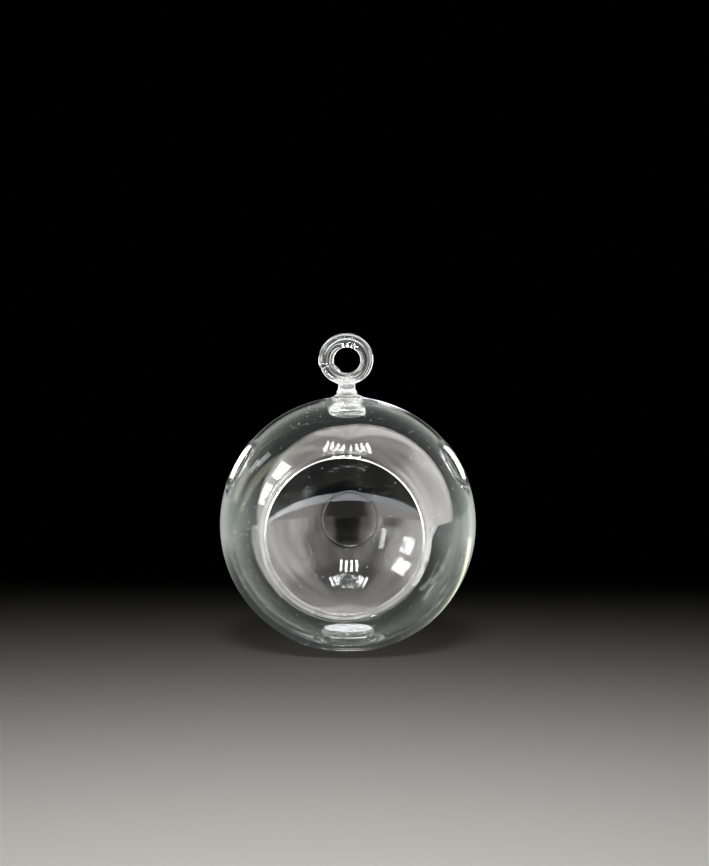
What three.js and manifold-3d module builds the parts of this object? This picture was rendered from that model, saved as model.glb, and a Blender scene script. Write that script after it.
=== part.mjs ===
// Hanging glass globe terrarium: a blown sphere with a large front mouth, two small vents, a pressed foot
// ring and a solid hanger that ends in a bent ring. Millimetres, +Z up, the mouth towards -Y, and the origin
// on the surface that the globe stands on, under the middle of the globe's depth.
import * as THREE from 'three';
import { ParametricGeometry } from 'three/addons/geometries/ParametricGeometry.js';
import { mergeVertices } from 'three/addons/utils/BufferGeometryUtils.js';
import Module from 'manifold-3d';

const wasm = await Module();
wasm.setup();

// Blown bulb
const globeRadius = 50;
const wall = 2.1;
const flattening = 2.2; // what the pressing takes off the bottom of the sphere
const dishDepth = 4.5; // how far the base's wall rises over its inner floor

// Openings: clear radius at the bead, and the bead's width along the wall
const mouthRadius = 29.6;
const mouthBeadWidth = 2.5;
const ventRadius = 8.5;
const ventBeadWidth = 2.1;
const ventElevation = 30; // degrees over the equator
const ventForward = 10; // degrees towards the mouth
const beadSwell = 0.3; // how far a bead stands proud of the wall on each side

// Foot ring, and the kick that pushes the middle of the bottom up into the globe
const footRingWidth = 3.6;
const kickRadius = 10.3;
const kickHeight = 6.4; // top of the flat disc inside, over the surface that the globe stands on
const kickEdge = 0.9;

// Solid pad under the crown, which backs the hanger
const crownPadRadius = 7.2;
const crownPadNeck = 4.7;
const crownPadDepth = 6;
const crownPadEdge = 1.6;
const crownPadDome = 0.8;

// Hanger, from the crown up
const hangerFootRadius = 8;
const hangerFootHeight = 2.05;
const hangerFootLip = 0.6; // height over which the flare turns up from the crown
const collarRadius = 4.05;
const collarHeight = 0.8;
const collarBulge = 0.45;
const neckRadius = 3.27;
const neckFlare = 0.3; // extra radius where the neck meets the collar
const neckLength = 2.6; // from the collar to the underside of the ring
const neckSaddle = 0.8; // how far the neck laps up round the ring's rod
const hangerStray = 0.4; // how far collar and neck stand left of the globe's axis, as the flame left them

// Ring, a tapered rod bent round its hole and closed on itself
const ringHoleWidth = 10.4;
const ringHoleHeight = 10;
const ringStray = 0.3; // how far the middle of the hole stands left of the globe's axis
const ringRodStart = 3; // radius of the rod at the weld, where the bend starts
const ringRodEnd = 2.25; // radius of the rod where it has come over the top and down to the neck
const weldAngle = 187; // degrees, where the rod closes on the left side
const weldSwell = 0.1;
const lapAngle = 222; // degrees, the lap of the rod's end over its start
const lapRadius = 1.6;
const lapLength = 5.2;
const lapReach = 0.6; // how far the lap stands into the hole

// Clearance at curved seats
const seatGap = 0.3;

// Steps round and along the surfaces
const globeSteps = 48;
const wallSteps = 15;
const ventSteps = 28;
const noseSteps = 7;
const padSteps = 28;
const hangerSteps = 28;
const ringSteps = 36;
const rodSteps = 12;
const curveSteps = 3;

const centreHeight = globeRadius - flattening;
const innerRadius = globeRadius - wall;
const midRadius = globeRadius - wall / 2;
const jointHeight = wall + dishDepth;
const footRadius = Math.sqrt(globeRadius ** 2 - centreHeight ** 2);
const crownHeight = centreHeight + Math.sqrt(globeRadius ** 2 - hangerFootRadius ** 2);
const crownInnerHeight = centreHeight + Math.sqrt(innerRadius ** 2 - crownPadNeck ** 2);
const collarSeatHeight = crownHeight + hangerFootHeight;
const neckSeatHeight = collarSeatHeight + collarHeight;
const collarSeatRadius = collarRadius - collarBulge;
const ringBottom = neckSeatHeight + neckLength;
const ringCentre = new THREE.Vector3(-ringStray, 0, ringBottom + 2 * ringRodEnd + ringHoleHeight / 2);
const globeCentre = new THREE.Vector3(0, 0, centreHeight);
const up = new THREE.Vector3(0, 0, 1);

const mouth = {
  axis: new THREE.Vector3(0, -1, 0),
  radius: mouthRadius,
  beadWidth: mouthBeadWidth,
  steps: globeSteps,
};
const leftVent = ventOpening(-1);
const rightVent = ventOpening(1);

function ventOpening(side) {
  const elevation = THREE.MathUtils.degToRad(ventElevation);
  const forward = THREE.MathUtils.degToRad(ventForward);
  const outward = Math.cos(elevation);
  const sideways = side * outward * Math.cos(forward);
  return {
    axis: new THREE.Vector3(sideways, -outward * Math.sin(forward), Math.sin(elevation)),
    radius: ventRadius,
    beadWidth: ventBeadWidth,
    steps: ventSteps,
  };
}

// A solid turned about +Z. The profile of radius and height starts and ends on the axis or closes on itself.
function turned(profile, steps) {
  const points = THREE.ShapeUtils.area(profile) < 0 ? [...profile].reverse() : profile;
  return new THREE.LatheGeometry(points, steps).rotateX(Math.PI / 2);
}

function solidOf(geometry) {
  const bare = geometry.clone();
  bare.deleteAttribute('normal');
  bare.deleteAttribute('uv');
  const merged = mergeVertices(bare, 1e-4);
  const vertProperties = merged.getAttribute('position').array;
  const triVerts = new Uint32Array(merged.index.array);
  return new wasm.Manifold(new wasm.Mesh({ numProp: 3, vertProperties, triVerts }));
}

function geometryOf(solid) {
  const mesh = solid.getMesh();
  const geometry = new THREE.BufferGeometry();
  geometry.setAttribute('position', new THREE.BufferAttribute(mesh.vertProperties, 3));
  geometry.setIndex(new THREE.BufferAttribute(mesh.triVerts, 1));
  geometry.computeVertexNormals();
  return geometry;
}

// Points of the sphere's outline between two heights over the floor.
function meridian(radius, startHeight, endHeight, steps) {
  const start = Math.asin((startHeight - centreHeight) / radius);
  const end = Math.asin((endHeight - centreHeight) / radius);
  const points = [];
  for (let i = 0; i <= steps; i++) {
    const elevation = THREE.MathUtils.lerp(start, end, i / steps);
    points.push(new THREE.Vector2(radius * Math.cos(elevation), centreHeight + radius * Math.sin(elevation)));
  }
  return points;
}

// The outline of a button of glass that swells from its neck to a round edge and ends in a low dome.
function buttonOutline({ neck, radius, depth, edge, dome }) {
  const edgeHeight = depth - dome - edge;
  const outline = new THREE.Path();
  outline.moveTo(neck, 0);
  outline.quadraticCurveTo(neck, edgeHeight - edge, radius - edge, edgeHeight - edge);
  outline.absarc(radius - edge, edgeHeight, edge, -Math.PI / 2, Math.PI / 2);
  outline.quadraticCurveTo((radius - edge) / 2, depth, 0, depth);
  return outline.getPoints(curveSteps);
}

// Angle from the opening's axis to the seat between the bead and the wall, seen from the globe's centre.
function seatAngle(opening) {
  return Math.asin(opening.radius / midRadius) + opening.beadWidth / midRadius;
}

// Lays a piece that is drawn about the globe's centre along an opening's axis.
function aimed(geometry, opening) {
  const turn = new THREE.Quaternion().setFromUnitVectors(up, opening.axis);
  return geometry.applyQuaternion(turn).translate(...globeCentre.toArray());
}

// The cone that takes an opening out of the wall, square to the wall at its edge.
function openingCone(opening) {
  const angle = seatAngle(opening) + seatGap / midRadius;
  const reach = 1.2 * globeRadius;
  const profile = [
    new THREE.Vector2(0, 0),
    new THREE.Vector2(reach * Math.tan(angle), reach),
    new THREE.Vector2(0, reach),
  ];
  return solidOf(aimed(turned(profile, opening.steps), opening));
}

function globeShell() {
  const profile = [
    new THREE.Vector2(0, crownInnerHeight),
    ...meridian(innerRadius, crownInnerHeight, jointHeight, wallSteps),
    ...meridian(globeRadius, jointHeight, crownHeight, wallSteps),
    new THREE.Vector2(0, crownHeight),
  ];
  const openings = [mouth, leftVent, rightVent];
  return geometryOf(openings.reduce(
    (shell, opening) => shell.subtract(openingCone(opening)),
    solidOf(turned(profile, globeSteps)),
  ));
}

// A fire-polished bead: as thick as the wall at its seat, swelling to a round nose that looks into the
// opening.
function openingBead(opening) {
  const noseRadius = wall / 2 + beadSwell;
  const noseCentre = opening.beadWidth - noseRadius;
  const onWall = (along, off) => {
    const angle = seatAngle(opening) - along / midRadius;
    return new THREE.Vector2((midRadius + off) * Math.sin(angle), (midRadius + off) * Math.cos(angle));
  };
  const profile = [onWall(0, wall / 2)];
  for (let i = 0; i <= noseSteps; i++) {
    const turn = Math.PI * (0.5 - i / noseSteps);
    profile.push(onWall(noseCentre + noseRadius * Math.cos(turn), noseRadius * Math.sin(turn)));
  }
  profile.push(onWall(0, -wall / 2), onWall(0, wall / 2));
  return aimed(turned(profile, opening.steps), opening);
}

// One face of the kick, from the foot ring up to the axis. The face underneath lies a wall's thickness lower
// and further in than the face inside the globe.
function kickOutline(inset) {
  const radius = kickRadius - inset;
  const footEnd = footRadius - footRingWidth + wall - inset;
  const top = kickHeight - inset;
  const bottom = wall - inset;
  const outline = new THREE.Path();
  outline.moveTo(footEnd, bottom);
  outline.quadraticCurveTo(radius, bottom, radius, (bottom + top - kickEdge) / 2);
  outline.lineTo(radius, top - kickEdge);
  outline.absarc(radius - kickEdge, top - kickEdge, kickEdge, 0, Math.PI / 2);
  outline.lineTo(0, top);
  return outline.getPoints(curveSteps);
}

// The pressed bottom: a foot ring at the end of the sphere's wall, with the kick in its middle.
function base() {
  const profile = [
    ...kickOutline(wall).reverse(),
    ...meridian(globeRadius, 0, jointHeight, curveSteps),
    ...meridian(innerRadius, jointHeight, wall, curveSteps),
    ...kickOutline(0),
  ];
  return turned(profile, globeSteps);
}

function crownPad() {
  const button = buttonOutline({
    neck: crownPadNeck,
    radius: crownPadRadius,
    depth: crownPadDepth,
    edge: crownPadEdge,
    dome: crownPadDome,
  });
  const profile = [
    new THREE.Vector2(0, crownInnerHeight),
    ...button.map((point) => new THREE.Vector2(point.x, crownInnerHeight - point.y)),
  ];
  return turned(profile, padSteps);
}

// Sets a piece of the hanger to the left: the foot's flare leans over, and what stands on it keeps that
// place.
function strayed(geometry) {
  const place = geometry.getAttribute('position');
  for (let i = 0; i < place.count; i++) {
    const rise = (place.getZ(i) - crownHeight) / hangerFootHeight;
    place.setX(i, place.getX(i) - hangerStray * THREE.MathUtils.clamp(rise, 0, 1));
  }
  return geometry;
}

function hangerFoot() {
  const outline = new THREE.Path();
  outline.moveTo(0, crownHeight);
  outline.lineTo(hangerFootRadius, crownHeight);
  outline.quadraticCurveTo(
    (hangerFootRadius + collarSeatRadius) / 2 - hangerFootLip,
    crownHeight + hangerFootLip,
    collarSeatRadius,
    collarSeatHeight,
  );
  outline.lineTo(0, collarSeatHeight);
  return strayed(turned(outline.getPoints(2 * curveSteps), hangerSteps));
}

function hangerCollar() {
  const middle = collarSeatHeight + collarHeight / 2;
  const outline = new THREE.Path();
  outline.moveTo(0, collarSeatHeight);
  outline.lineTo(collarSeatRadius, collarSeatHeight);
  outline.absellipse(collarSeatRadius, middle, collarBulge, collarHeight / 2, -Math.PI / 2, Math.PI / 2);
  outline.lineTo(0, neckSeatHeight);
  return strayed(turned(outline.getPoints(curveSteps), hangerSteps));
}

// Angles round the ring are in radians and count from +X over the top.
function holeEdge(angle) {
  const across = 2 * Math.cos(angle) / ringHoleWidth;
  const upright = 2 * Math.sin(angle) / ringHoleHeight;
  return 1 / Math.hypot(across, upright);
}

// The rod thins from the weld over the top and down to the neck, and swells back on its last stretch.
function rodRadius(angle) {
  const fullTurn = 2 * Math.PI;
  const weld = THREE.MathUtils.degToRad(weldAngle);
  const thinning = weld + Math.PI / 2;
  const run = THREE.MathUtils.euclideanModulo(weld - angle, fullTurn);
  if (run < thinning) {
    return THREE.MathUtils.lerp(ringRodStart, ringRodEnd, run / thinning);
  }
  return THREE.MathUtils.lerp(ringRodEnd, ringRodStart, (run - thinning) / (fullTurn - thinning));
}

// The ring's rod lies round the hole in the XZ plane. A clearance makes it thicker all round.
function ringRod(clearance) {
  const surface = (round, along, point) => {
    const angle = 2 * Math.PI * along;
    const turn = 2 * Math.PI * round;
    const radius = rodRadius(angle) + clearance;
    const distance = holeEdge(angle) + rodRadius(angle) + radius * Math.cos(turn);
    point.set(distance * Math.cos(angle), radius * Math.sin(turn), distance * Math.sin(angle));
    point.add(ringCentre);
  };
  return solidOf(new ParametricGeometry(surface, rodSteps, ringSteps));
}

// The neck, hollowed into a saddle under the ring.
function hangerNeck() {
  const outline = new THREE.Path();
  outline.moveTo(0, neckSeatHeight);
  outline.lineTo(neckRadius + neckFlare, neckSeatHeight);
  outline.quadraticCurveTo(neckRadius, neckSeatHeight + neckLength / 2, neckRadius, ringBottom);
  outline.lineTo(neckRadius, ringBottom + neckSaddle);
  outline.lineTo(0, ringBottom + neckSaddle);
  const neck = solidOf(strayed(turned(outline.getPoints(curveSteps), hangerSteps)));
  return geometryOf(neck.subtract(ringRod(seatGap)));
}

// A lump of glass on the ring, as long along the rod as given, with its middle at a distance from the hole's
// edge.
function ringLump(radius, length, angle, distance) {
  const lump = new THREE.SphereGeometry(radius, rodSteps, rodSteps / 2);
  lump.scale(1, 1, length / (2 * radius)).translate(holeEdge(angle) + distance, 0, 0).rotateY(-angle);
  return solidOf(lump.translate(...ringCentre.toArray()));
}

function hangingRing() {
  const weldAt = THREE.MathUtils.degToRad(weldAngle);
  const lapAt = THREE.MathUtils.degToRad(lapAngle);
  const weldRadius = rodRadius(weldAt) + weldSwell;
  const weld = ringLump(weldRadius, 2 * weldRadius, weldAt, rodRadius(weldAt));
  const lap = ringLump(lapRadius, lapLength, lapAt, lapRadius - lapReach);
  return geometryOf(ringRod(0).add(weld).add(lap));
}

const blownGlass = { color: 0xdfe6e0, roughness: 0.02, metalness: 0, transparent: true, opacity: 0.35 };
const solidGlass = { color: 0xe9eeea, roughness: 0.03, metalness: 0, transparent: true, opacity: 0.5 };

function piece(name, geometry, glass) {
  const mesh = new THREE.Mesh(geometry, new THREE.MeshStandardMaterial(glass));
  mesh.name = name;
  return mesh;
}

const globe = new THREE.Group();
globe.add(
  piece('globe_shell', globeShell(), blownGlass),
  piece('mouth_rim', openingBead(mouth), blownGlass),
  piece('left_vent_rim', openingBead(leftVent), blownGlass),
  piece('right_vent_rim', openingBead(rightVent), blownGlass),
  piece('base', base(), blownGlass),
  piece('crown_pad', crownPad(), solidGlass),
  piece('hanger_foot', hangerFoot(), solidGlass),
  piece('hanger_collar', hangerCollar(), solidGlass),
  piece('hanger_neck', hangerNeck(), solidGlass),
  piece('hanging_ring', hangingRing(), solidGlass),
);

// The mouth cuts the sphere short in front, so the middle of its depth lies behind the globe's axis.
const bounds = new THREE.Box3().setFromObject(globe);
globe.position.y = -(bounds.min.y + bounds.max.y) / 2;

const terrarium = new THREE.Group();
terrarium.name = 'glass_globe_terrarium';
terrarium.add(globe);

export default terrarium;
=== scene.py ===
import math

import bmesh
import bpy
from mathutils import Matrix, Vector

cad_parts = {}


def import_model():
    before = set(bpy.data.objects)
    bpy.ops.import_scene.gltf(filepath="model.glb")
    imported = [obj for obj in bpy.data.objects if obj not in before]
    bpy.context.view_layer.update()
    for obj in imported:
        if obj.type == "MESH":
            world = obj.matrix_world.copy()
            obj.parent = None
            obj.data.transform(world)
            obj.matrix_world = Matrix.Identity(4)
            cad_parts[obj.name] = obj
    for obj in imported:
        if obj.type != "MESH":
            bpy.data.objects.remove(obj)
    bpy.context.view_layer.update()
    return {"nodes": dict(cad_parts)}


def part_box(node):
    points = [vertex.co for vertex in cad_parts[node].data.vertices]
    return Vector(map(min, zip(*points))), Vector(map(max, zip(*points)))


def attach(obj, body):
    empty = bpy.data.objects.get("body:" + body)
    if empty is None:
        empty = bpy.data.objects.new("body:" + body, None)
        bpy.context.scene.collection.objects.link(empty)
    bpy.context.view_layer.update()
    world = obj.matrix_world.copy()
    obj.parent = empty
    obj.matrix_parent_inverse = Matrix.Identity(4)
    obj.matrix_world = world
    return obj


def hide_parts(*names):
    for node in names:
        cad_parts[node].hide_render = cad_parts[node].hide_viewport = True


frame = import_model()
print("frame loaded:", len(frame["nodes"]), "nodes")

mm = 0.001
up = Vector((0, 0, 1))

# How near points are to count as one, or as lying in a plane
near = {
    "cut": 0.0001 * mm,
    "rim": 0.25 * mm,
    "plane": 0.01 * mm,
    "seam": 0.005 * mm,
}


# Nothing selected and object mode, before a new piece is begun
def startClean():
    if bpy.context.object and bpy.context.object.mode != "OBJECT":
        bpy.ops.object.mode_set(mode="OBJECT")
    bpy.ops.object.select_all(action="DESELECT")


# Selects these pieces alone, and makes the last one active
def workOn(*pieces):
    startClean()
    for piece in pieces:
        piece.select_set(True)
    bpy.context.view_layer.objects.active = pieces[-1]


def applyPlace(piece):
    workOn(piece)
    bpy.ops.object.transform_apply(location=True, rotation=True, scale=True)


def applyModifier(piece, kind, **settings):
    modifier = piece.modifiers.new(kind.lower(), kind)
    for key, value in settings.items():
        setattr(modifier, key, value)
    workOn(piece)
    bpy.ops.object.modifier_apply(modifier=modifier.name)


def arcPoints(centreX, centreZ, radius, startAngle, endAngle, steps):
    points = []
    for i in range(steps + 1):
        angle = math.radians(startAngle + (endAngle - startAngle) * i / steps)
        points.append((centreX + radius * math.cos(angle), centreZ + radius * math.sin(angle)))
    return points


# A bend between two straight runs, from start round the corner to end
def bendPoints(start, corner, end, steps):
    points = []
    for i in range(steps + 1):
        t = i / steps
        points.append(tuple(
            (1 - t) ** 2 * a + 2 * t * (1 - t) * b + t ** 2 * c for a, b, c in zip(start, corner, end)
        ))
    return points


def smoothStep(t):
    t = min(max(t, 0), 1)
    return t * t * (3 - 2 * t)


# Half the width of a circle at a distance from its middle
def halfChord(radius, off):
    return math.sqrt(radius ** 2 - off ** 2)


# Takes off what lies past a plane, and evens out the new rim
def cutPast(origin, axis, distance):
    bpy.ops.mesh.select_all(action="SELECT")
    bpy.ops.mesh.bisect(
        plane_co=origin + axis * distance, plane_no=axis, clear_outer=True, threshold=near["cut"],
    )
    bpy.ops.mesh.remove_doubles(threshold=near["rim"])


# Copies the rim that lies in one plane across an axis into an object of its own, which is quick to work on
def liftRim(piece, origin, axis, distance):
    bpy.ops.mesh.select_mode(type="EDGE")
    bpy.ops.mesh.select_all(action="DESELECT")
    mesh = bmesh.from_edit_mesh(piece.data)
    for edge in mesh.edges:
        if not edge.is_boundary:
            continue
        if all(abs((v.co - origin).dot(axis) - distance) < near["plane"] for v in edge.verts):
            edge.select_set(True)
    bmesh.update_edit_mesh(piece.data)
    bpy.ops.mesh.duplicate()
    bpy.ops.mesh.separate(type="SELECTED")
    return [other for other in bpy.context.selected_objects if other is not piece][-1]


# Draws a rim out along a profile of (radius, distance along the axis), whose first pair is where the rim
# stands. The drift is how far sideways the rings stray for each step along the axis.
def pullRings(rim, origin, axis, profile, drift=Vector((0, 0, 0))):
    workOn(rim)
    bpy.ops.object.mode_set(mode="EDIT")
    bpy.ops.mesh.select_mode(type="EDGE")
    bpy.ops.mesh.select_all(action="SELECT")
    radius, distance = profile[0]
    centre = origin + axis * distance
    for nextRadius, nextDistance in profile[1:]:
        step = (axis + drift) * (nextDistance - distance)
        bpy.ops.mesh.extrude_edges_indiv()
        if nextRadius == 0:
            bpy.ops.transform.translate(value=step)
            bpy.ops.mesh.merge(type="CENTER")
            break
        size = nextRadius / radius
        bpy.ops.transform.resize(value=(size, size, size), center_override=centre)
        bpy.ops.transform.translate(value=step)
        radius, distance, centre = nextRadius, nextDistance, centre + step
    bpy.ops.object.mode_set(mode="OBJECT")


# The blown globe: both walls, the beads at its openings, the kicked-up bottom, the pad under the crown and
# the hanger's foot are one piece of glass.
globe = {
    "radius": 50 * mm,
    "wall": 2.1 * mm,
    "centreHeight": 47.8 * mm,
    "segments": 192,
    "rings": 96,
    "smoothAngle": 50,
    "mouthRadius": 29.6 * mm,
    "mouthBead": 2.5 * mm,
    "ventRadius": 8.5 * mm,
    "ventBead": 2.1 * mm,
    "ventElevation": 30,
    "ventForward": 10,
    "beadSwell": 0.3 * mm,
    "beadRun": 0.8 * mm,  # over which the wall grows into a bead
    "footCut": 0.15 * mm,
    "footRing": 3.6 * mm,
    "footSoft": 0.2 * mm,  # the corner under the foot is softened this far to each side
    "footLift": 0.04 * mm,  # and this far up
    "innerCorner": 14.1 * mm,  # where the wall turns into the bottom inside
    "kickRadius": 10.3 * mm,
    "kickHeight": 6.4 * mm,
    "kickEdge": 0.9 * mm,
    "crownFoot": 8.0 * mm,
    "flareTop": 3.6 * mm,
    "flareHollow": 0.6 * mm,
    "flareRing": 0.6,  # share of the flare's top where its closed end has a ring
    "padRings": (7.0 * mm, 6.2 * mm),  # radii on the inner wall, on the way in to the pad
    "padNeck": 4.7 * mm,
    "padFillet": 0.8 * mm,
    "padRadius": 7.2 * mm,
    "padDepth": 6.0 * mm,
    "padEdge": 1.6 * mm,
    "padDome": 0.8 * mm,
}


# Middle of a node, at the height of its underside
def underMiddle(node):
    low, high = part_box(node)
    return Vector(((low.x + high.x) / 2, (low.y + high.y) / 2, low.z))


padMiddle = underMiddle("crown_pad")
axisPoint = Vector((padMiddle.x, padMiddle.y, 0))
globeCentre = axisPoint + up * globe["centreHeight"]
collarPoint = underMiddle("hanger_collar")
collarSeat = collarPoint.z
neckPoint = underMiddle("hanger_neck")
ringLow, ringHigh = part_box("hanging_ring")
ringMiddle = (ringLow + ringHigh) / 2


def ventAxis(side):
    elevation = math.radians(globe["ventElevation"])
    forward = math.radians(globe["ventForward"])
    outward = math.cos(elevation)
    return Vector((side * outward * math.cos(forward), -outward * math.sin(forward), math.sin(elevation)))


# Profile of a bead in radius and distance along the opening's axis: out along the outer wall, round the nose
# and back along the inner wall
def beadProfile(radius, bead):
    middle = globe["radius"] - globe["wall"] / 2
    thin = globe["wall"] / 2
    thick = thin + globe["beadSwell"]
    start = math.asin(radius / middle) + (bead + globe["beadRun"]) / middle
    noseAt = globe["beadRun"] + bead - thick

    def onWall(along, off):
        angle = start - along / middle
        return ((middle + off) * math.sin(angle), (middle + off) * math.cos(angle))

    steps = 9
    side = [noseAt * i / steps for i in range(steps)]
    swell = [thin + (thick - thin) * smoothStep(along / noseAt) for along in side]
    nose = [onWall(noseAt + x, y) for x, y in arcPoints(0, 0, thick, 90, -90, steps=16)]
    outer = [onWall(along, off) for along, off in zip(side, swell)]
    inner = [onWall(along, -off) for along, off in zip(side, swell)]
    return outer + nose + inner[::-1]


# The kick, as seen in section: under the globe with inset = wall, or inside it with inset = 0
def kickProfile(inset):
    footRadius = halfChord(globe["radius"], globe["centreHeight"])
    flatEnd = footRadius - globe["footRing"] + globe["wall"] - inset
    radius = globe["kickRadius"] - inset
    top = globe["kickHeight"] - inset
    bottom = globe["wall"] - inset
    edge = globe["kickEdge"]
    return (
        bendPoints((flatEnd, bottom), (radius, bottom), (radius, (bottom + top - edge) / 2), steps=10)
        + arcPoints(radius - edge, top - edge, edge, 0, 90, steps=8)
        + [((radius - edge) * (1 - i / 4), top) for i in range(1, 5)]
    )


# The button under the crown, from its neck round its edge to the middle of its dome
def padProfile(innerHeight):
    neck, edge, depth = globe["padNeck"], globe["padEdge"], globe["padDepth"]
    edgeDepth = depth - globe["padDome"] - edge
    inEdge = globe["padRadius"] - edge
    button = (
        bendPoints((neck, 0), (neck, edgeDepth - edge), (inEdge, edgeDepth - edge), steps=8)[1:]
        + arcPoints(inEdge, edgeDepth, edge, -90, 90, steps=16)[1:]
        + bendPoints((inEdge, edgeDepth + edge), (inEdge / 2, depth), (0, depth), steps=8)[1:]
    )
    return [(r, innerHeight - down) for r, down in button]


# Each rim of the cut walls, and what it is drawn out along: (origin, axis, profile, drift)
def listRims(openings, crownCut, shrink):
    middle = globe["centreHeight"]
    footRadius = halfChord(globe["radius"], middle)
    outerFoot = (halfChord(globe["radius"], middle - globe["footCut"]), globe["footCut"])
    innerFoot = (outerFoot[0] * shrink, middle - (middle - outerFoot[1]) * shrink)
    softCorner = [
        outerFoot,
        (footRadius + globe["footSoft"], globe["footLift"]),
        (footRadius - globe["footSoft"], 0),
    ]
    innerCorner = [innerFoot, (globe["innerCorner"], globe["wall"])]

    crownHeight = middle + crownCut
    hollow = globe["flareHollow"]
    flare = bendPoints(
        (globe["crownFoot"], crownHeight),
        ((globe["crownFoot"] + globe["flareTop"]) / 2 - hollow, crownHeight + hollow),
        (globe["flareTop"], collarSeat),
        steps=12,
    )
    flareEnd = [(globe["flareTop"] * globe["flareRing"], collarSeat), (0, collarSeat)]

    innerRadius = globe["radius"] - globe["wall"]
    padNeck, fillet = globe["padNeck"], globe["padFillet"]
    innerCrown = (globe["crownFoot"] * shrink, middle + crownCut * shrink)
    onInner = [(r, middle + halfChord(innerRadius, r)) for r in globe["padRings"] + (padNeck + fillet,)]
    padTop = middle + halfChord(innerRadius, padNeck)
    intoPad = bendPoints(onInner[-1], (padNeck, padTop), (padNeck, padTop - fillet), steps=5)[1:]
    pad = [(r, height) for r, height in padProfile(padTop) if height < padTop - fillet]

    # The flare leans over to the collar
    straight = Vector((0, 0, 0))
    lean = Vector((collarPoint.x - axisPoint.x, 0, 0)) / (collarSeat - crownHeight)
    return [(globeCentre, axis, profile, straight) for axis, profile in openings] + [
        (axisPoint, up, softCorner + kickProfile(globe["wall"]), straight),
        (axisPoint, up, innerCorner + kickProfile(0), straight),
        (axisPoint, up, flare + flareEnd, lean),
        (axisPoint, up, [innerCrown] + onInner + intoPad + pad, straight),
    ]


def makeGlobe():
    startClean()
    bpy.ops.mesh.primitive_uv_sphere_add(
        segments=globe["segments"], ring_count=globe["rings"], radius=globe["radius"], location=globeCentre,
    )
    piece = bpy.context.object
    piece.name = "blown_globe"
    applyPlace(piece)
    bpy.ops.object.mode_set(mode="EDIT")

    openings = [(Vector((0, -1, 0)), beadProfile(globe["mouthRadius"], globe["mouthBead"]))]
    for side in (-1, 1):
        openings.append((ventAxis(side), beadProfile(globe["ventRadius"], globe["ventBead"])))
    for axis, profile in openings:
        cutPast(globeCentre, axis, profile[0][1])
    cutPast(globeCentre, -up, globe["centreHeight"] - globe["footCut"])
    crownCut = halfChord(globe["radius"], globe["crownFoot"])
    cutPast(globeCentre, up, crownCut)

    # The inner wall is the outer one drawn in, and looks the other way
    shrink = (globe["radius"] - globe["wall"]) / globe["radius"]
    bpy.ops.mesh.select_all(action="SELECT")
    bpy.ops.mesh.duplicate()
    bpy.ops.transform.resize(value=(shrink, shrink, shrink), center_override=globeCentre)
    bpy.ops.mesh.flip_normals()

    rims = listRims(openings, crownCut, shrink)
    lifted = [liftRim(piece, origin, axis, profile[0][1]) for origin, axis, profile, drift in rims]
    bpy.ops.object.mode_set(mode="OBJECT")
    for rim, (origin, axis, profile, drift) in zip(lifted, rims):
        pullRings(rim, origin, axis, profile, drift)

    workOn(*lifted, piece)
    bpy.ops.object.join()
    bpy.ops.object.mode_set(mode="EDIT")
    bpy.ops.mesh.select_mode(type="VERT")
    bpy.ops.mesh.select_all(action="SELECT")
    bpy.ops.mesh.remove_doubles(threshold=near["seam"])
    bpy.ops.mesh.normals_make_consistent(inside=False)
    bpy.ops.object.mode_set(mode="OBJECT")
    bpy.ops.object.shade_smooth_by_angle(angle=math.radians(globe["smoothAngle"]))
    return piece


blownGlobe = makeGlobe()
print("globe made:", len(blownGlobe.data.polygons), "faces")

# The hanger: a collar and neck, and a tapered rod bent round to a ring that closes on itself. Angles go round
# the ring's hole in degrees, from the right upwards.
hanger = {
    "holeWidth": 10.4 * mm,
    "holeHeight": 10.0 * mm,
    "rodStart": 3.0 * mm,
    "rodNeck": 2.25 * mm,  # where the rod crosses the neck
    "rodEnd": 2.8 * mm,
    "startAngle": 184,
    "neckAngle": -90,
    "endAngle": -163,
    "knotCuts": 9,
    "bevelSteps": 14,
    "curveSteps": 8,
    "seatGap": 0.02 * mm,
    "collarEnd": 3.6 * mm,
    "collar": 4.05 * mm,
    "collarTurn": 80,
    "neckFlare": 3.57 * mm,
    "neckFillet": 0.5 * mm,
    "neck": 3.27 * mm,
    "neckTaper": 0.9,  # share of the neck's radius at its shoulder, inside the ring's rod
    "neckShoulder": 0.9 * mm,
    "neckTip": 1.6 * mm,
    "neckSegments": 96,
    "weldLength": 2.2,  # in radii of the rod
    "lapAngle": 222,
    "lapRadius": 1.6 * mm,
    "lapLength": 5.2 * mm,
    "lapReach": 0.6 * mm,
    "lumpSegments": 48,
    "grain": 0.16 * mm,
    "softening": 10,
}


def holeEdge(angle):
    return 0.5 / math.hypot(math.cos(angle) / hanger["holeWidth"], math.sin(angle) / hanger["holeHeight"])


# Radius of the rod at an angle: it thins over the top down to the neck, and thickens again
def rodRadius(angle):
    neckAngle = hanger["neckAngle"]
    thick, last = ("rodStart", "startAngle") if angle > neckAngle else ("rodEnd", "endAngle")
    swell = hanger[thick] - hanger["rodNeck"]
    return hanger["rodNeck"] + swell * (angle - neckAngle) / (hanger[last] - neckAngle)


# A place at an angle round the hole, some way beyond the hole's edge
def onRing(angle, beyondEdge):
    around = math.radians(angle)
    holeCentre = Vector((
        ringHigh.x - 2 * rodRadius(0) - hanger["holeWidth"] / 2,
        axisPoint.y,
        ringLow.z + 2 * hanger["rodNeck"] + hanger["holeHeight"] / 2,
    ))
    return holeCentre + Vector((math.cos(around), 0, math.sin(around))) * (holeEdge(around) + beyondEdge)


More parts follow.
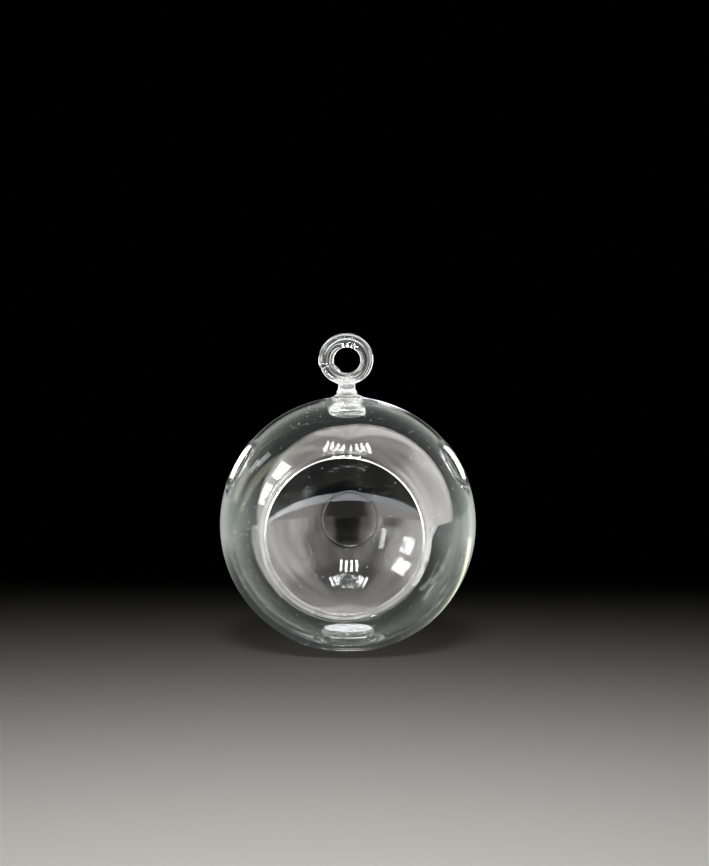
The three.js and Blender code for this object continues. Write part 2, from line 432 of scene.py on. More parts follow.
# The rod is a bevelled curve, thicker or thinner at each point
def makeRod():
    startClean()
    bpy.ops.curve.primitive_bezier_circle_add(radius=hanger["holeWidth"], location=(0, 0, 0))
    ring = bpy.context.object
    ring.name = "hanger_ring"
    bpy.ops.object.mode_set(mode="EDIT")
    bpy.ops.curve.select_all(action="SELECT")
    bpy.ops.curve.cyclic_toggle()
    bpy.ops.curve.subdivide(number_cuts=hanger["knotCuts"])
    bpy.ops.curve.handle_type_set(type="AUTOMATIC")
    bpy.ops.object.mode_set(mode="OBJECT")
    ring.data.dimensions = "3D"
    knots = ring.data.splines[0].bezier_points
    for i, knot in enumerate(knots):
        angle = hanger["startAngle"] + (hanger["endAngle"] - hanger["startAngle"]) * i / (len(knots) - 1)
        knot.co = onRing(angle, rodRadius(angle))
        knot.radius = rodRadius(angle) / hanger["rodStart"]
    ring.data.bevel_depth = hanger["rodStart"]
    ring.data.bevel_resolution = hanger["bevelSteps"]
    ring.data.resolution_u = hanger["curveSteps"]
    ring.data.use_fill_caps = True
    workOn(ring)
    bpy.ops.object.convert(target="MESH")
    return ring


# Collar and neck, drawn up from a circle on the foot into the ring's rod
def makeNeck():
    seat = collarSeat + hanger["seatGap"]
    collarTop = neckPoint.z
    ringBottom = ringLow.z
    neckRadius = hanger["neck"]
    bulge = arcPoints(
        0, (seat + collarTop) / 2, hanger["collar"] - hanger["collarEnd"],
        -hanger["collarTurn"], hanger["collarTurn"], steps=8,
    )
    bend = bendPoints(
        (hanger["neckFlare"], collarTop), (neckRadius, collarTop + hanger["neckFillet"]),
        (neckRadius, ringBottom), steps=6,
    )
    shoulder = (neckRadius * hanger["neckTaper"], ringBottom + hanger["neckShoulder"])
    tip = (0, ringBottom + hanger["neckTip"])
    collar = [(hanger["collarEnd"] + x, z) for x, z in bulge]
    profile = [(hanger["collarEnd"], seat)] + collar + bend + [shoulder, tip]
    startClean()
    bpy.ops.mesh.primitive_circle_add(
        vertices=hanger["neckSegments"], radius=profile[0][0], fill_type="NGON",
        location=(collarPoint.x, collarPoint.y, seat),
    )
    neck = bpy.context.object
    applyPlace(neck)
    pullRings(neck, Vector((collarPoint.x, collarPoint.y, 0)), up, profile)
    return neck


# The lump where the rod's start is welded on, and the one where its end laps over the neck
def makeLumps():
    rod, lap = hanger["rodStart"], hanger["lapRadius"]
    lumps = []
    for angle, radius, length, beyondEdge in (
        (hanger["startAngle"], rod, hanger["weldLength"] * rod, rod),
        (hanger["lapAngle"], lap, hanger["lapLength"], lap - hanger["lapReach"]),
    ):
        startClean()
        bpy.ops.mesh.primitive_uv_sphere_add(
            segments=hanger["lumpSegments"], ring_count=hanger["lumpSegments"] // 2, radius=radius,
            location=onRing(angle, beyondEdge), rotation=(0, -math.radians(angle), 0),
            scale=(1, 1, length / (2 * radius)),
        )
        lumps.append(bpy.context.object)
        applyPlace(lumps[-1])
    return lumps


# Rod, neck and lumps, melted together
def makeHanger():
    ring = makeRod()
    neck = makeNeck()
    lumps = makeLumps()
    workOn(neck, *lumps, ring)
    bpy.ops.object.join()
    applyModifier(ring, "REMESH", mode="VOXEL", voxel_size=hanger["grain"])
    applyModifier(ring, "SMOOTH", factor=0.5, iterations=hanger["softening"])
    workOn(ring)
    bpy.ops.object.shade_smooth()
    return ring


hangerRing = makeHanger()
print("hanger made:", len(hangerRing.data.polygons), "faces")


# Gives a socket a number or a colour, or links another node's output to it
def feed(tree, socket, value):
    if isinstance(value, (int, float, tuple)):
        socket.default_value = value
    else:
        tree.links.new(value, socket)


# A math node in a tree. What it works on are numbers or other nodes' outputs.
def calc(tree, operation, *values):
    node = tree.nodes.new("ShaderNodeMath")
    node.operation = operation
    for socket, value in zip(node.inputs, values):
        feed(tree, socket, value)
    return node.outputs["Value"]


# How far off a place is that lies across and over from the middle
def farOff(tree, across, over):
    return calc(tree, "SQRT", calc(tree, "ADD", calc(tree, "POWER", across, 2), calc(tree, "POWER", over, 2)))


# Goes softly from start to end while the value goes from low to high
def softStep(tree, value, low, high, start=0, end=1):
    node = tree.nodes.new("ShaderNodeMapRange")
    node.interpolation_type = "SMOOTHSTEP"
    feed(tree, node.inputs["Value"], value)
    feed(tree, node.inputs["From Min"], low)
    feed(tree, node.inputs["From Max"], high)
    feed(tree, node.inputs["To Min"], start)
    feed(tree, node.inputs["To Max"], end)
    return node.outputs["Result"]


# The colour below where the factor is 0, and above where it is 1
def blend(tree, factor, below, above, kind="MIX"):
    node = tree.nodes.new("ShaderNodeMix")
    node.data_type = "RGBA"
    node.blend_type = kind
    feed(tree, node.inputs["Factor"], factor)
    for key, value in (("A", below), ("B", above)):
        socket = [s for s in node.inputs if s.name == key and s.type == "RGBA"][0]
        feed(tree, socket, value)
    return [s for s in node.outputs if s.type == "RGBA"][0]


# A colour times a number
def scaled(tree, colour, times):
    return blend(tree, 1, colour, (times, times, times, 1), "MULTIPLY")


def splitUp(tree, vector):
    split = tree.nodes.new("ShaderNodeSeparateXYZ")
    tree.links.new(vector, split.inputs["Vector"])
    return split.outputs["X"], split.outputs["Y"], split.outputs["Z"]


def joinUp(tree, *values):
    join = tree.nodes.new("ShaderNodeCombineXYZ")
    for socket, value in zip(join.inputs, values):
        feed(tree, socket, value)
    return join.outputs["Vector"]


def noise(tree, vector, scale, detail, roughness, distortion=0):
    node = tree.nodes.new("ShaderNodeTexNoise")
    feed(tree, node.inputs["Vector"], vector)
    feed(tree, node.inputs["Scale"], scale)
    feed(tree, node.inputs["Detail"], detail)
    feed(tree, node.inputs["Roughness"], roughness)
    feed(tree, node.inputs["Distortion"], distortion)
    return node.outputs["Fac"]


# Degrees round from the front, positive to the right, of a direction or a place
def azimuthAt(tree, x, y):
    return calc(tree, "MULTIPLY", calc(tree, "ARCTAN2", x, calc(tree, "MULTIPLY", y, -1)), math.degrees(1))


def glowing(colour, glow):
    return tuple(glow * c for c in colour) + (1,)


# A shader group with named inputs and outputs
def newGroup(name, inputs, outputs):
    group = bpy.data.node_groups.new(name, "ShaderNodeTree")
    for key in inputs:
        kind = "NodeSocketVector" if key == "Vector" else "NodeSocketFloat"
        group.interface.new_socket(key, in_out="INPUT", socket_type=kind)
    for key in outputs:
        group.interface.new_socket(key, in_out="OUTPUT", socket_type="NodeSocketFloat")
    return group, group.nodes.new("NodeGroupInput").outputs, group.nodes.new("NodeGroupOutput").inputs


def placeGroup(tree, group, **values):
    node = tree.nodes.new("ShaderNodeGroup")
    node.node_tree = group
    for key, value in values.items():
        feed(tree, node.inputs[key], value)
    return node.outputs


# The slow waves that blowing and reheating leave in the wall, and tighter swirls where glass was melted on
def makeFlowGroup():
    tree, given, result = newGroup(
        "glassFlow", ["Vector", "Scale", "Stretch", "SwirlScale", "Swirl"], ["Height", "Shade"],
    )
    x, y, z = splitUp(tree, given["Vector"])
    squeezed = joinUp(tree, x, y, calc(tree, "MULTIPLY", z, given["Stretch"]))
    waves = noise(tree, squeezed, given["Scale"], detail=1.5, roughness=0.35)
    swirls = noise(tree, given["Vector"], given["SwirlScale"], detail=1, roughness=0.4, distortion=0.4)
    height = calc(tree, "ADD", waves, calc(tree, "MULTIPLY", swirls, given["Swirl"]))
    tree.links.new(height, result["Height"])
    tree.links.new(waves, result["Shade"])
    return tree


# Dust and pinhead seeds: a few small round dots
def makeSpeckGroup():
    tree, given, result = newGroup("glassSpecks", ["Vector", "Scale", "Size", "Amount"], ["Mask"])
    cells = tree.nodes.new("ShaderNodeTexVoronoi")
    tree.links.new(given["Vector"], cells.inputs["Vector"])
    tree.links.new(given["Scale"], cells.inputs["Scale"])
    split = tree.nodes.new("ShaderNodeSeparateColor")
    tree.links.new(cells.outputs["Color"], split.inputs["Color"])
    dot = calc(tree, "LESS_THAN", cells.outputs["Distance"], given["Size"])
    chosen = calc(tree, "LESS_THAN", split.outputs["Red"], given["Amount"])
    tree.links.new(calc(tree, "MULTIPLY", dot, chosen), result["Mask"])
    return tree


# A dust film, painted as a faint glow that stands in for the light the dust scatters. It makes clean glass
# look a little grey, thicker in patches
def makeDustGlowGroup():
    tree, given, result = newGroup("glassDustGlow", ["Vector", "Scale", "Patches"], ["Mask"])
    fine = noise(tree, given["Vector"], given["Scale"], detail=3, roughness=0.7)
    broad = noise(tree, given["Vector"], given["Patches"], detail=2, roughness=0.5)
    grain = softStep(tree, fine, low=0.52, high=0.74)
    patches = softStep(tree, broad, low=0.3, high=0.7, start=0.5, end=1)
    tree.links.new(calc(tree, "MULTIPLY", grain, patches), result["Mask"])
    return tree


flowGroup = makeFlowGroup()
speckGroup = makeSpeckGroup()
dustGlowGroup = makeDustGlowGroup()

glassIor = 1.47
black = (0, 0, 0, 1)
white = (1.0, 1.0, 1.0)

blownGlass = {
    "clear": (0.985, 0.995, 0.985, 1),
    "tinted": (0.955, 0.98, 0.96, 1),
    "flowScale": 45,
    "flowStretch": 0.5,
    "flowDepth": 0.05 * mm,
    "swirlScale": 480,
    "swirl": 8.0,
    "speckScale": 330,
    "speckSize": 0.09,
    "speckAmount": 0.24,
    "speckRough": 0.6,
    # The glows below are painted light: a white glint on each speck, a faint glow in the dust film's patches,
    # and the painted highlight on the lip
    "speckGlow": 0.45,
    "dustGlow": (0.80, 1.0, 0.93),
    "dustGlowScale": 900,
    "dustGlowPatches": 30,
    "dustGlowStrength": 0.016,
    "paintedHighlight": (1.0, 0.99, 0.95),
    "paintedHighlightGlow": 0.2,
    # The lip's painted highlight: where its white glow lies, and how its painted bright lines run
    "lipWidth": 2.3 * mm,
    "lipFull": 0.7,  # share of the width where the white is full
    "lipFold": 1.25 * mm,  # from one bright line of the lip to the next
    "lipTop": 80 * mm,  # above this height the lip stays clear
    "lipWhite": 60 * mm,  # and below this one it is white all over
    "lipFront": 0.6,  # share of the globe's radius that the lip lies before its middle, at least
    "lipPatches": 160,
}

# Where glass was melted on, under the crown and on it and in the pressed bottom: the heights, and the
# distances from the axis, where it begins and ends
melted = {
    "crownHeights": (38 * mm, 43 * mm),  # above the globe's middle
    "crownOff": (8 * mm, 12 * mm),
    "baseHeights": (4 * mm, 9 * mm),
    "baseOff": (10 * mm, 15 * mm),
    "baseShare": 0.8,
}

solidGlass = {
    "clear": (0.99, 0.995, 0.99, 1),
    "tinted": (0.97, 0.985, 0.975, 1),
    "flowScale": 260,
    "flowStretch": 0.8,
    "flowDepth": 0.03 * mm,
    "flowTurn": 1.2 * mm,  # what a radian round the ring counts as, along the rod
    "swirlScale": 600,
    "swirl": 1.6,
    "neckSwirl": 16.0,
    "neckFade": 3 * mm,
    "speckScale": 500,
    "speckSize": 0.08,
    "speckAmount": 0.15,
    "speckRough": 0.6,
    # The glows below are painted light: a white glint on each speck, a faint glow in the dust film's patches,
    # and the painted white glints on the neck
    "speckGlow": 0.3,
    "dustGlow": (0.9, 1.0, 0.95),
    "dustGlowScale": 900,
    "dustGlowPatches": 30,
    "dustGlowStrength": 0.01,
    "paintedHighlight": white,
    "paintedHighlightGlow": 0.02,
}


# 1 where glass was melted on, and 0 in the plain blown wall
def meltedZone(tree, place):
    x, y, z = splitUp(tree, place)
    off = farOff(tree, calc(tree, "SUBTRACT", x, axisPoint.x), calc(tree, "SUBTRACT", y, axisPoint.y))
    low, high = (globe["centreHeight"] + height for height in melted["crownHeights"])
    crown = calc(
        tree, "MULTIPLY", softStep(tree, z, low, high),
        softStep(tree, off, *melted["crownOff"], start=1, end=0),
    )
    base = calc(
        tree, "MULTIPLY", softStep(tree, z, *melted["baseHeights"], start=melted["baseShare"], end=0),
        softStep(tree, off, *melted["baseOff"], start=1, end=0),
    )
    return calc(tree, "ADD", crown, base)


# A painted highlight: the white that a fused lip gathers, painted on as a glow in bright lines, all round
# the mouth but for its top
def paintedLipHighlight(tree, place, look):
    x, y, z = splitUp(tree, place)
    off = farOff(
        tree, calc(tree, "SUBTRACT", x, axisPoint.x), calc(tree, "SUBTRACT", z, globe["centreHeight"]),
    )
    fromEdge = calc(tree, "SUBTRACT", off, globe["mouthRadius"])
    inLip = softStep(tree, fromEdge, look["lipWidth"] * look["lipFull"], look["lipWidth"], start=1, end=0)
    wave = calc(tree, "COSINE", calc(tree, "MULTIPLY", fromEdge, 2 * math.pi / look["lipFold"]))
    lines = softStep(tree, wave, low=-0.7, high=0.6, start=0.15, end=1)
    inFront = calc(tree, "LESS_THAN", y, axisPoint.y - look["lipFront"] * globe["radius"])
    low = softStep(tree, z, look["lipWhite"], look["lipTop"], start=1, end=0.1)
    patches = noise(tree, place, look["lipPatches"], detail=2, roughness=0.5)
    uneven = softStep(tree, patches, low=0.3, high=0.6, start=0.5, end=1)
    paintedHighlight = calc(tree, "MULTIPLY", calc(tree, "MULTIPLY", inLip, inFront), calc(tree, "MULTIPLY", low, uneven))
    return calc(tree, "MULTIPLY", paintedHighlight, lines)


# The rod's striae run round the ring with it
def alongRod(tree, place, look):
    x, y, z = splitUp(tree, place)
    across = calc(tree, "SUBTRACT", x, ringMiddle.x)
    over = calc(tree, "SUBTRACT", z, ringMiddle.z)
    around = calc(tree, "ARCTAN2", across, over)
    return joinUp(tree, farOff(tree, across, over), calc(tree, "MULTIPLY", around, look["flowTurn"]), y)


# Where the blown glass takes its waves from, how much it swirls, and where the lip's painted highlight lies
def blownZones(tree, place, look):
    swirl = calc(tree, "MULTIPLY", meltedZone(tree, place), look["swirl"])
    return place, swirl, paintedLipHighlight(tree, place, look)


# The same for the rod. Below the ring its neck was melted on, and swirls more. There it also has
# painted white glints, a painted highlight that glows in place of the light the neck gathers.
def solidZones(tree, place, look):
    x, y, z = splitUp(tree, place)
    neckZone = softStep(tree, z, ringLow.z, ringLow.z + look["neckFade"], start=1, end=0)
    flowPlace = blend(tree, neckZone, alongRod(tree, place, look), place)
    swirl = calc(tree, "ADD", look["swirl"], calc(tree, "MULTIPLY", neckZone, look["neckSwirl"]))
    grain = noise(tree, place, look["swirlScale"], detail=1, roughness=0.5)
    glints = softStep(tree, grain, low=0.35, high=0.65, start=0.2, end=1)
    return flowPlace, swirl, calc(tree, "MULTIPLY", neckZone, glints)


def makeGlass(name, look, zonesOf):
    material = bpy.data.materials.new(name)
    material.use_nodes = True
    tree = material.node_tree
    link = tree.links.new
    shader = tree.nodes["Principled BSDF"]
    shader.inputs["Transmission Weight"].default_value = 1
    shader.inputs["IOR"].default_value = glassIor
    shader.inputs["Emission Strength"].default_value = 1
    place = tree.nodes.new("ShaderNodeTexCoord").outputs["Object"]

    flowPlace, swirl, paintedHighlight = zonesOf(tree, place, look)
    flow = placeGroup(
        tree, flowGroup, Vector=flowPlace, Scale=look["flowScale"], Stretch=look["flowStretch"],
        SwirlScale=look["swirlScale"], Swirl=swirl,
    )
    bump = tree.nodes.new("ShaderNodeBump")
    bump.inputs["Strength"].default_value = 1
    bump.inputs["Distance"].default_value = look["flowDepth"]
    link(flow["Height"], bump.inputs["Height"])
    link(bump.outputs["Normal"], shader.inputs["Normal"])
    link(blend(tree, flow["Shade"], look["clear"], look["tinted"]), shader.inputs["Base Color"])

    specks = placeGroup(
        tree, speckGroup, Vector=place, Scale=look["speckScale"], Size=look["speckSize"],
        Amount=look["speckAmount"],
    )
    link(softStep(tree, specks["Mask"], 0, 1, end=look["speckRough"]), shader.inputs["Roughness"])
    # The emission is all painted light: a faint glow in the dust film, a white glint on each speck, and the
    # painted highlight on the lip or the neck
    dustGlow = placeGroup(tree, dustGlowGroup, Vector=place, Scale=look["dustGlowScale"], Patches=look["dustGlowPatches"])
    paintedGlow = blend(tree, dustGlow["Mask"], black, glowing(look["dustGlow"], look["dustGlowStrength"]))
    paintedGlow = blend(tree, specks["Mask"], paintedGlow, glowing(white, look["speckGlow"]))
    paintedGlow = blend(tree, paintedHighlight, paintedGlow, glowing(look["paintedHighlight"], look["paintedHighlightGlow"]))
    link(paintedGlow, shader.inputs["Emission Color"])
    return material


blownGlobe.data.materials.append(makeGlass("blown_glass", blownGlass, blownZones))
hangerRing.data.materials.append(makeGlass("solid_glass", solidGlass, solidZones))

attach(blownGlobe, "root")
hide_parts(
    "globe_shell", "mouth_rim", "left_vent_rim", "right_vent_rim", "base",
    "crown_pad", "hanger_foot",
)
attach(hangerRing, "root")
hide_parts("hanger_collar", "hanger_neck", "hanging_ring")
print("glass finished")

taupe = (1.0, 0.955, 0.925)
lilac = (0.93, 0.92, 1.0)
daylight = (0.95, 0.97, 1.0)
dimGrey = (0.93, 1.0, 0.97)
beige = (1.0, 0.98, 0.86)
limeGlow = (1.0, 1.0, 0.75)

# The pale floor. Only where the glass mirrors it, it glows with a painted reflection of a room: a bright
# strip before the globe, a taupe glow for the tent's cloth past the strip, with a darker gap, and a dim rest
# that is lighter to the right and has a streak behind there.
# Directions are in degrees round from the front, positive to the right.
floor = {
    "width": 8,
    "drop": 0.15 * mm,
    "colour": (0.78, 0.77, 0.75, 1),
    "rough": 0.9,
    "near": 0.05,
    "far": 0.42,
    "farFrom": 70 * mm,
    "farAt": 300 * mm,
    "rightGain": 2.2,
    "rightFrom": (50, 100),
    "rightUntil": (120, 172),
    "streak": 1.5,
    "streakAt": 138,
    "streakOff": (4, 7),  # where its edge is, in degrees to each side
    "streakUntil": (260 * mm, 312 * mm),
    "strip": 3.7,
    "stripRight": 9.0,
    "stripTurn": (15, 80),
    "stripFrom": -85 * mm,
    "stripEdge": 1 * mm,
    "cloth": 3.0,
    "clothFrom": -140 * mm,
    "clothEdge": 3 * mm,
    "clothSlant": 0.09,
    "gapAt": 4,
    "gapOff": (15, 35),
    "gapLeft": 0.1,  # what is left of the light in the gap
}


# 1 for what the glass mirrors, and 0 for what is seen straight or through it
def isMirrored(tree):
    return calc(tree, "GREATER_THAN", tree.nodes.new("ShaderNodeLightPath").outputs["Glossy Depth"], 0.5)


# The light of the floor as the glass mirrors it: a painted glow, a painted reflection of a room
def floorGlow(tree):
    x, y, z = splitUp(tree, tree.nodes.new("ShaderNodeTexCoord").outputs["Object"])
    around = azimuthAt(tree, x, y)
    away = farOff(tree, x, y)

    def offFrom(direction):
        return calc(tree, "ABSOLUTE", calc(tree, "SUBTRACT", around, direction))

    outOfGap = softStep(tree, offFrom(floor["gapAt"]), *floor["gapOff"], start=floor["gapLeft"])
    cloth = blend(tree, outOfGap, black, glowing(taupe, floor["cloth"]))
    strip = blend(
        tree, softStep(tree, around, *floor["stripTurn"]),
        glowing(lilac, floor["strip"]), glowing(lilac, floor["stripRight"]),
    )
    dim = blend(
        tree, softStep(tree, away, floor["farFrom"], floor["farAt"]),
        glowing(dimGrey, floor["near"]), glowing(dimGrey, floor["far"]),
    )
    toRight = calc(
        tree, "MULTIPLY", softStep(tree, around, *floor["rightFrom"]),
        softStep(tree, around, *floor["rightUntil"], start=1, end=0),
    )
    dim = blend(tree, toRight, dim, scaled(tree, dim, floor["rightGain"]))
    inStreak = calc(
        tree, "MULTIPLY", softStep(tree, offFrom(floor["streakAt"]), *floor["streakOff"], start=1, end=0),
        softStep(tree, away, *floor["streakUntil"], start=1, end=0),
    )
    dim = blend(tree, inStreak, dim, glowing(limeGlow, floor["streak"]))

    def before(value, line, edge):
        return softStep(tree, value, line - edge, line + edge, start=1, end=0)

    slanted = calc(tree, "ADD", y, calc(tree, "MULTIPLY", calc(tree, "ABSOLUTE", x), floor["clothSlant"]))
    light = blend(tree, before(y, floor["stripFrom"], floor["stripEdge"]), dim, strip)
    return blend(tree, before(slanted, floor["clothFrom"], floor["clothEdge"]), light, cloth)


def makeFloor():
    startClean()
    bpy.ops.mesh.primitive_plane_add(size=floor["width"], location=(0, 0, -floor["drop"]))
    piece = bpy.context.object
    piece.name = "pale_floor"
    applyPlace(piece)
    material = bpy.data.materials.new("floor_paper")
    material.use_nodes = True
    tree = material.node_tree
    shader = tree.nodes["Principled BSDF"]
    shader.inputs["Roughness"].default_value = floor["rough"]
    shader.inputs["Specular IOR Level"].default_value = 0
    # For rays the glass mirrored, the floor is black and glows with the painted room instead
    mirrored = isMirrored(tree)
    tree.links.new(blend(tree, mirrored, floor["colour"], black), shader.inputs["Base Color"])
    tree.links.new(floorGlow(tree), shader.inputs["Emission Color"])
    tree.links.new(mirrored, shader.inputs["Emission Strength"])
    material.cycles.emission_sampling = "NONE"
    piece.data.materials.append(material)
    return piece


paleFloor = makeFloor()

glassSet = bpy.data.collections.new("glass_set")
for piece in (blownGlobe, hangerRing):
    glassSet.objects.link(piece)
hangerSet = bpy.data.collections.new("hanger_set")
hangerSet.objects.link(hangerRing)
floorSet = bpy.data.collections.new("floor_set")
floorSet.objects.link(paleFloor)

camera = {
    "azimuth": 1.9,
    "elevation": 6.8,
    "distance": 0.9,
    "aimRight": 2.6 * mm,
    "aimUp": 35.7 * mm,
    "lens": 95.4,
    "sensor": 36,
    "clipEnd": 100,
}


def pointing(azimuth, elevation):
    around, rise = math.radians(azimuth), math.radians(elevation)
    return Vector((math.sin(around) * math.cos(rise), -math.cos(around) * math.cos(rise), math.sin(rise)))


# How a light or camera is turned that looks from its place to a target
def aimAt(place, target):
    return (Vector(target) - Vector(place)).to_track_quat("-Z", "Y")


back = pointing(camera["azimuth"], camera["elevation"])
right = Vector((math.cos(math.radians(camera["azimuth"])), math.sin(math.radians(camera["azimuth"])), 0))

# What the glass mirrors round it, by azimuth and elevation in degrees. A light tent stands over the front
# half, dark cloth hangs behind, and the rest is a dim room.
studio = {
    "dimLow": 0.42,
    "dimHigh": 0.17,
    "dimRise": (5, 45),
    "tent": 5.9,
    "tentDark": 3.7,
    "tentLeft": (0.06, -1, 0.28),  # each half of the tent ends where a direction is square to this one
    "tentRight": (0.34, -0.94, 0.28),
    "tentEdge": 0.04,
    "foldWidth": 10,
    "foldHeight": 60,
    "cloth": (0.01, 0.01, 0.01, 1),
    "clothAngle": 27,
    "clothEdge": 0.7,
    "rimAngle": 29.2,
    "rimEdge": 1,
    "rimGlow": 0.75,
    "rimTo": (0.9, 0, 0.45),  # the cloth's border is brightest this way
    "rimTurn": (0.05, 0.42),
    "rimLeast": 0.2,
    "faceEdge": 0.5,
}

# Softer and darker places in the tent: (azimuth, elevation, width, height, edge, what is left of the light)
tentShades = [
    (3, 45, 70, 40, 24, 0.38),
    (3, 68, 220, 32, 14, 0.5),
    (4, -2, 44, 16, 14, 0.3),
    (3, 12, 16, 18, 14, 0.1),
    (36, 4, 6, 22, 4, 0.6),
    (-42, 0, 13, 10, 6, 0.3),
]

# Bright faces: (side, azimuth, elevation, width, height, colour, glow). The azimuth counts from the front, or
# to both sides from straight behind.
brightFaces = [
    ("behind", 0, 9, 9, 8, lilac, 3.2),
    ("front", -127, 12, 10, 14, beige, 1.3),
    ("front", -123, 24, 2, 7, daylight, 5),
    ("front", -119, 31, 3, 9, daylight, 4),
]


# 1 inside a box of azimuth and elevation, falling to 0 over its soft edge
def makeFaceGroup():
    tree, given, result = newGroup(
        "brightFace", ["Azimuth", "Elevation", "At", "Over", "Width", "Height", "Edge"], ["Mask"],
    )

    def side(value, middle, size):
        away = calc(tree, "ABSOLUTE", calc(tree, "SUBTRACT", given[value], given[middle]))
        half = calc(tree, "MULTIPLY", given[size], 0.5)
        return softStep(tree, away, half, calc(tree, "ADD", half, given["Edge"]), start=1, end=0)

    both = calc(tree, "MULTIPLY", side("Azimuth", "At", "Width"), side("Elevation", "Over", "Height"))
    tree.links.new(both, result["Mask"])
    return tree


def makeStudio():
    world = bpy.data.worlds.new("studio")
    bpy.context.scene.world = world
    world.use_nodes = True
    tree = world.node_tree
    faceGroup = makeFaceGroup()
    direction = tree.nodes.new("ShaderNodeTexCoord").outputs["Generated"]
    x, y, z = splitUp(tree, direction)
    azimuthOf = azimuthAt(tree, x, y)
    behindOf = calc(tree, "SUBTRACT", 180, calc(tree, "ABSOLUTE", azimuthOf))
    elevationOf = calc(tree, "MULTIPLY", calc(tree, "ARCSINE", z), math.degrees(1))

    def dotWith(axis):
        node = tree.nodes.new("ShaderNodeVectorMath")
        node.operation = "DOT_PRODUCT"
        tree.links.new(direction, node.inputs[0])
        node.inputs[1].default_value = axis
        return node.outputs["Value"]

    # The dark cloth hangs straight behind as the camera sees it, with a lighter border
    offBack = calc(tree, "MULTIPLY", calc(tree, "ARCCOSINE", dotWith(-back)), math.degrees(1))
    pastCloth = softStep(tree, offBack, studio["clothAngle"], studio["clothAngle"] + studio["clothEdge"])
    inBorder = softStep(
        tree, offBack, studio["rimAngle"], studio["rimAngle"] + studio["rimEdge"], start=1, end=0,
    )
    upperRight = softStep(tree, dotWith(studio["rimTo"]), *studio["rimTurn"], start=studio["rimLeast"])
    border = calc(tree, "MULTIPLY", inBorder, upperRight)
    room = blend(
        tree, softStep(tree, elevationOf, *studio["dimRise"]),
        glowing(dimGrey, studio["dimLow"]), glowing(dimGrey, studio["dimHigh"]),
    )
    light = blend(tree, border, room, glowing(limeGlow, studio["rimGlow"]))
    light = blend(tree, pastCloth, studio["cloth"], light)

    foldPlace = joinUp(
        tree, calc(tree, "DIVIDE", azimuthOf, studio["foldWidth"]),
        calc(tree, "DIVIDE", elevationOf, studio["foldHeight"]), 0,
    )
    folds = noise(tree, foldPlace, scale=1, detail=1.5, roughness=0.5)
    tent = blend(
        tree, softStep(tree, folds, low=0.35, high=0.65),
        glowing(taupe, studio["tentDark"]), glowing(taupe, studio["tent"]),
    )
    for atAzimuth, atElevation, width, height, edge, left in tentShades:
        shade = placeGroup(
            tree, faceGroup, Azimuth=azimuthOf, Elevation=elevationOf, At=atAzimuth, Over=atElevation,
            Width=width, Height=height, Edge=edge,
        )
        tent = blend(tree, shade["Mask"], tent, scaled(tree, tent, left))
    halves = []
    for half in ("tentLeft", "tentRight"):
        toHalf = dotWith(Vector(studio[half]).normalized())
        halves.append(softStep(tree, toHalf, -studio["tentEdge"] / 2, studio["tentEdge"] / 2))
    light = blend(tree, calc(tree, "MAXIMUM", *halves), light, tent)
    for around, atAzimuth, atElevation, width, height, colour, glow in brightFaces:
        face = placeGroup(
            tree, faceGroup, Azimuth=behindOf if around == "behind" else azimuthOf, Elevation=elevationOf,
            At=atAzimuth, Over=atElevation, Width=width, Height=height, Edge=studio["faceEdge"],
        )
        light = blend(tree, face["Mask"], light, glowing(colour, glow))

    # Only what the glass mirrors: straight through the wall it is as dark as beside the globe
    tree.links.new(light, tree.nodes["Background"].inputs["Color"])
    tree.links.new(isMirrored(tree), tree.nodes["Background"].inputs["Strength"])
    world.cycles_visibility.camera = False
    world.cycles_visibility.diffuse = False


makeStudio()


# A flat light, aimed at a target. It falls on the receivers alone.
def addPanel(name, size, place, target, colour, glow, receivers):
    startClean()
    bpy.ops.object.light_add(type="AREA", location=place)
    lamp = bpy.context.object
    lamp.name = name
    lamp.data.shape = "RECTANGLE"
    lamp.data.size, lamp.data.size_y = size
    lamp.data.color = colour
    lamp.data.energy = math.pi * glow * size[0] * size[1]
    lamp.rotation_euler = aimAt(place, target).to_euler()
    lamp.visible_camera = False
    lamp.light_linking.receiver_collection = receivers
    return lamp


# Panes and lamp strips close to the globe, in rows of equal panels side by side, which both walls mirror.
# (name, middle, panel width and height, count, pitch, glow)
panelRows = [
    ("paneHigh", (-233 * mm, -78 * mm, 245 * mm), (42 * mm, 66 * mm), 2, 45 * mm, 16),
    ("paneLow", (-158 * mm, -60 * mm, 112 * mm), (12 * mm, 44 * mm), 3, 16 * mm, 14),
    ("paneSlim", (-251 * mm, -352 * mm, 197 * mm), (34 * mm, 150 * mm), 1, 0, 9),
    ("stripsNear", (0, -76 * mm, 149 * mm), (4.5 * mm, 29 * mm), 4, 11.6 * mm, 36),
    ("stripsLeft", (-33 * mm, -73 * mm, 240 * mm), (3.5 * mm, 40 * mm), 4, 14 * mm, 45),
    ("stripsRight", (35 * mm, -75 * mm, 240 * mm), (3.5 * mm, 40 * mm), 4, 14 * mm, 45),
]
for name, middle, size, count, pitch, glow in panelRows:
    aimed = aimAt(middle, globeCentre)
    sideways = aimed @ Vector((1, 0, 0))
    for k in range(count):
        place = Vector(middle) + sideways * pitch * (k - (count - 1) / 2)
        addPanel(name + str(k + 1), size, place, place + aimed @ Vector((0, 0, -1)), daylight, glow, glassSet)

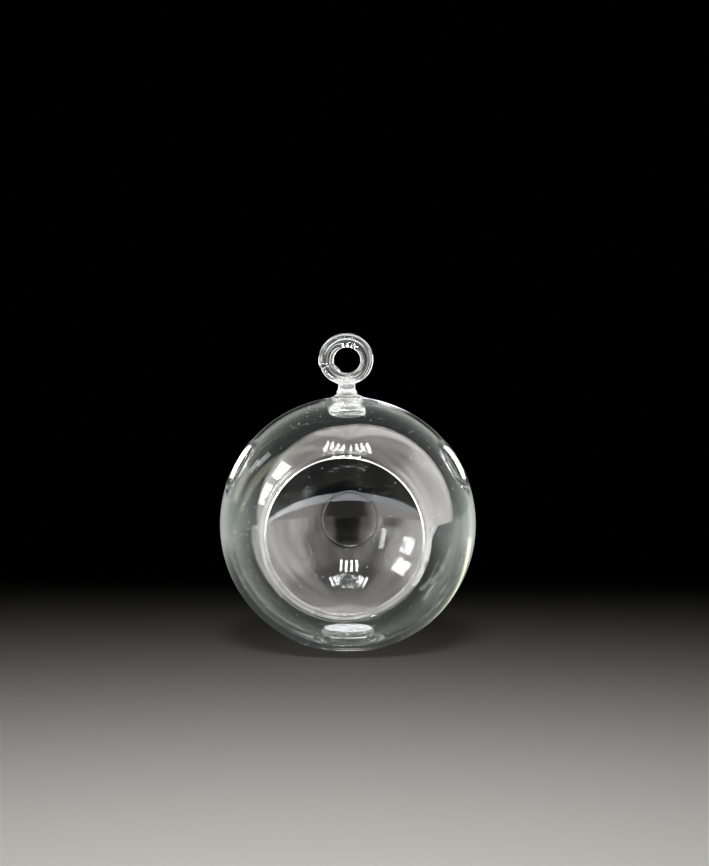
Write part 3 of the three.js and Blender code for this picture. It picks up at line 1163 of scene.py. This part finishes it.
# The hanger has light of its own, round behind it, to bring its solid glass out against the dark.
# (name, azimuth, elevation, distance, width and height, glow)
hangerPanels = [
    ("wallLeft", -108, 12, 0.5, (0.44, 0.9), 1.7),
    ("wallRight", 108, 12, 0.5, (0.46, 0.9), 1.9),
    ("wallTop", 180, 68, 0.5, (0.6, 0.3), 0.6),
    ("bandLeft", -157, 8, 0.5, (0.035, 0.34), 1.0),
    ("bandRight", 154, 8, 0.5, (0.03, 0.34), 1.0),
    ("bandMiddle", -172, 8, 0.5, (0.015, 0.3), 0.8),
    ("bandTop", 176, 34, 0.5, (0.3, 0.03), 0.6),
    ("dimBack", 184, 2, 0.6, (0.12, 0.14), 0.12),
    ("neckBack", 182, -8, 0.58, (0.13, 0.045), 1.4),
]
for name, atAzimuth, atElevation, distance, size, glow in hangerPanels:
    place = ringMiddle + pointing(atAzimuth, atElevation) * distance
    addPanel(name, size, place, ringMiddle, daylight, glow, hangerSet)

# One more lies on the floor behind it and looks straight up
lowWall = {
    "size": (0.6, 0.15),
    "place": (0, 0.1, 1 * mm),
    "target": (0, 0.1, 1),
    "glow": 0.85,
}
addPanel(
    "wallLow", lowWall["size"], lowWall["place"], lowWall["target"], daylight, lowWall["glow"], hangerSet,
)

# Two equal lights fall on the floor. The globe throws a soft shadow in one, and the other passes the glass,
# as half the light does through clear glass.
pool = {
    "size": (0.5, 0.4),
    "place": (0, -0.75, 0.9),
    "target": (0, -0.42, 0),
    "colour": (1, 0.98, 0.95),
    "glow": 0.45,
    "spread": 36,
}
for name, blockers in (("poolSoft", None), ("poolClear", floorSet)):
    lamp = addPanel(
        name, pool["size"], pool["place"], pool["target"], pool["colour"], pool["glow"], floorSet,
    )
    lamp.data.spread = math.radians(pool["spread"])
    lamp.light_linking.blocker_collection = blockers

aim = globeCentre + right * camera["aimRight"] + back.cross(right) * camera["aimUp"]
startClean()
bpy.ops.object.camera_add(location=globeCentre + back * camera["distance"])
viewCamera = bpy.context.object
viewCamera.rotation_euler = aimAt(viewCamera.location, aim).to_euler()
viewCamera.data.lens = camera["lens"]
viewCamera.data.sensor_width = camera["sensor"]
viewCamera.data.clip_end = camera["clipEnd"]
bpy.context.scene.camera = viewCamera

# Light takes many turns in thick glass, and lamps mirrored in the far wall need a high clamp
lightPaths = bpy.context.scene.cycles
lightPaths.max_bounces = 24
lightPaths.transmission_bounces = 24
lightPaths.glossy_bounces = 12
lightPaths.sample_clamp_indirect = 60
lightPaths.caustics_reflective = False
lightPaths.caustics_refractive = False
bpy.context.scene.view_settings.view_transform = "Standard"
print("stage, lights and camera set")
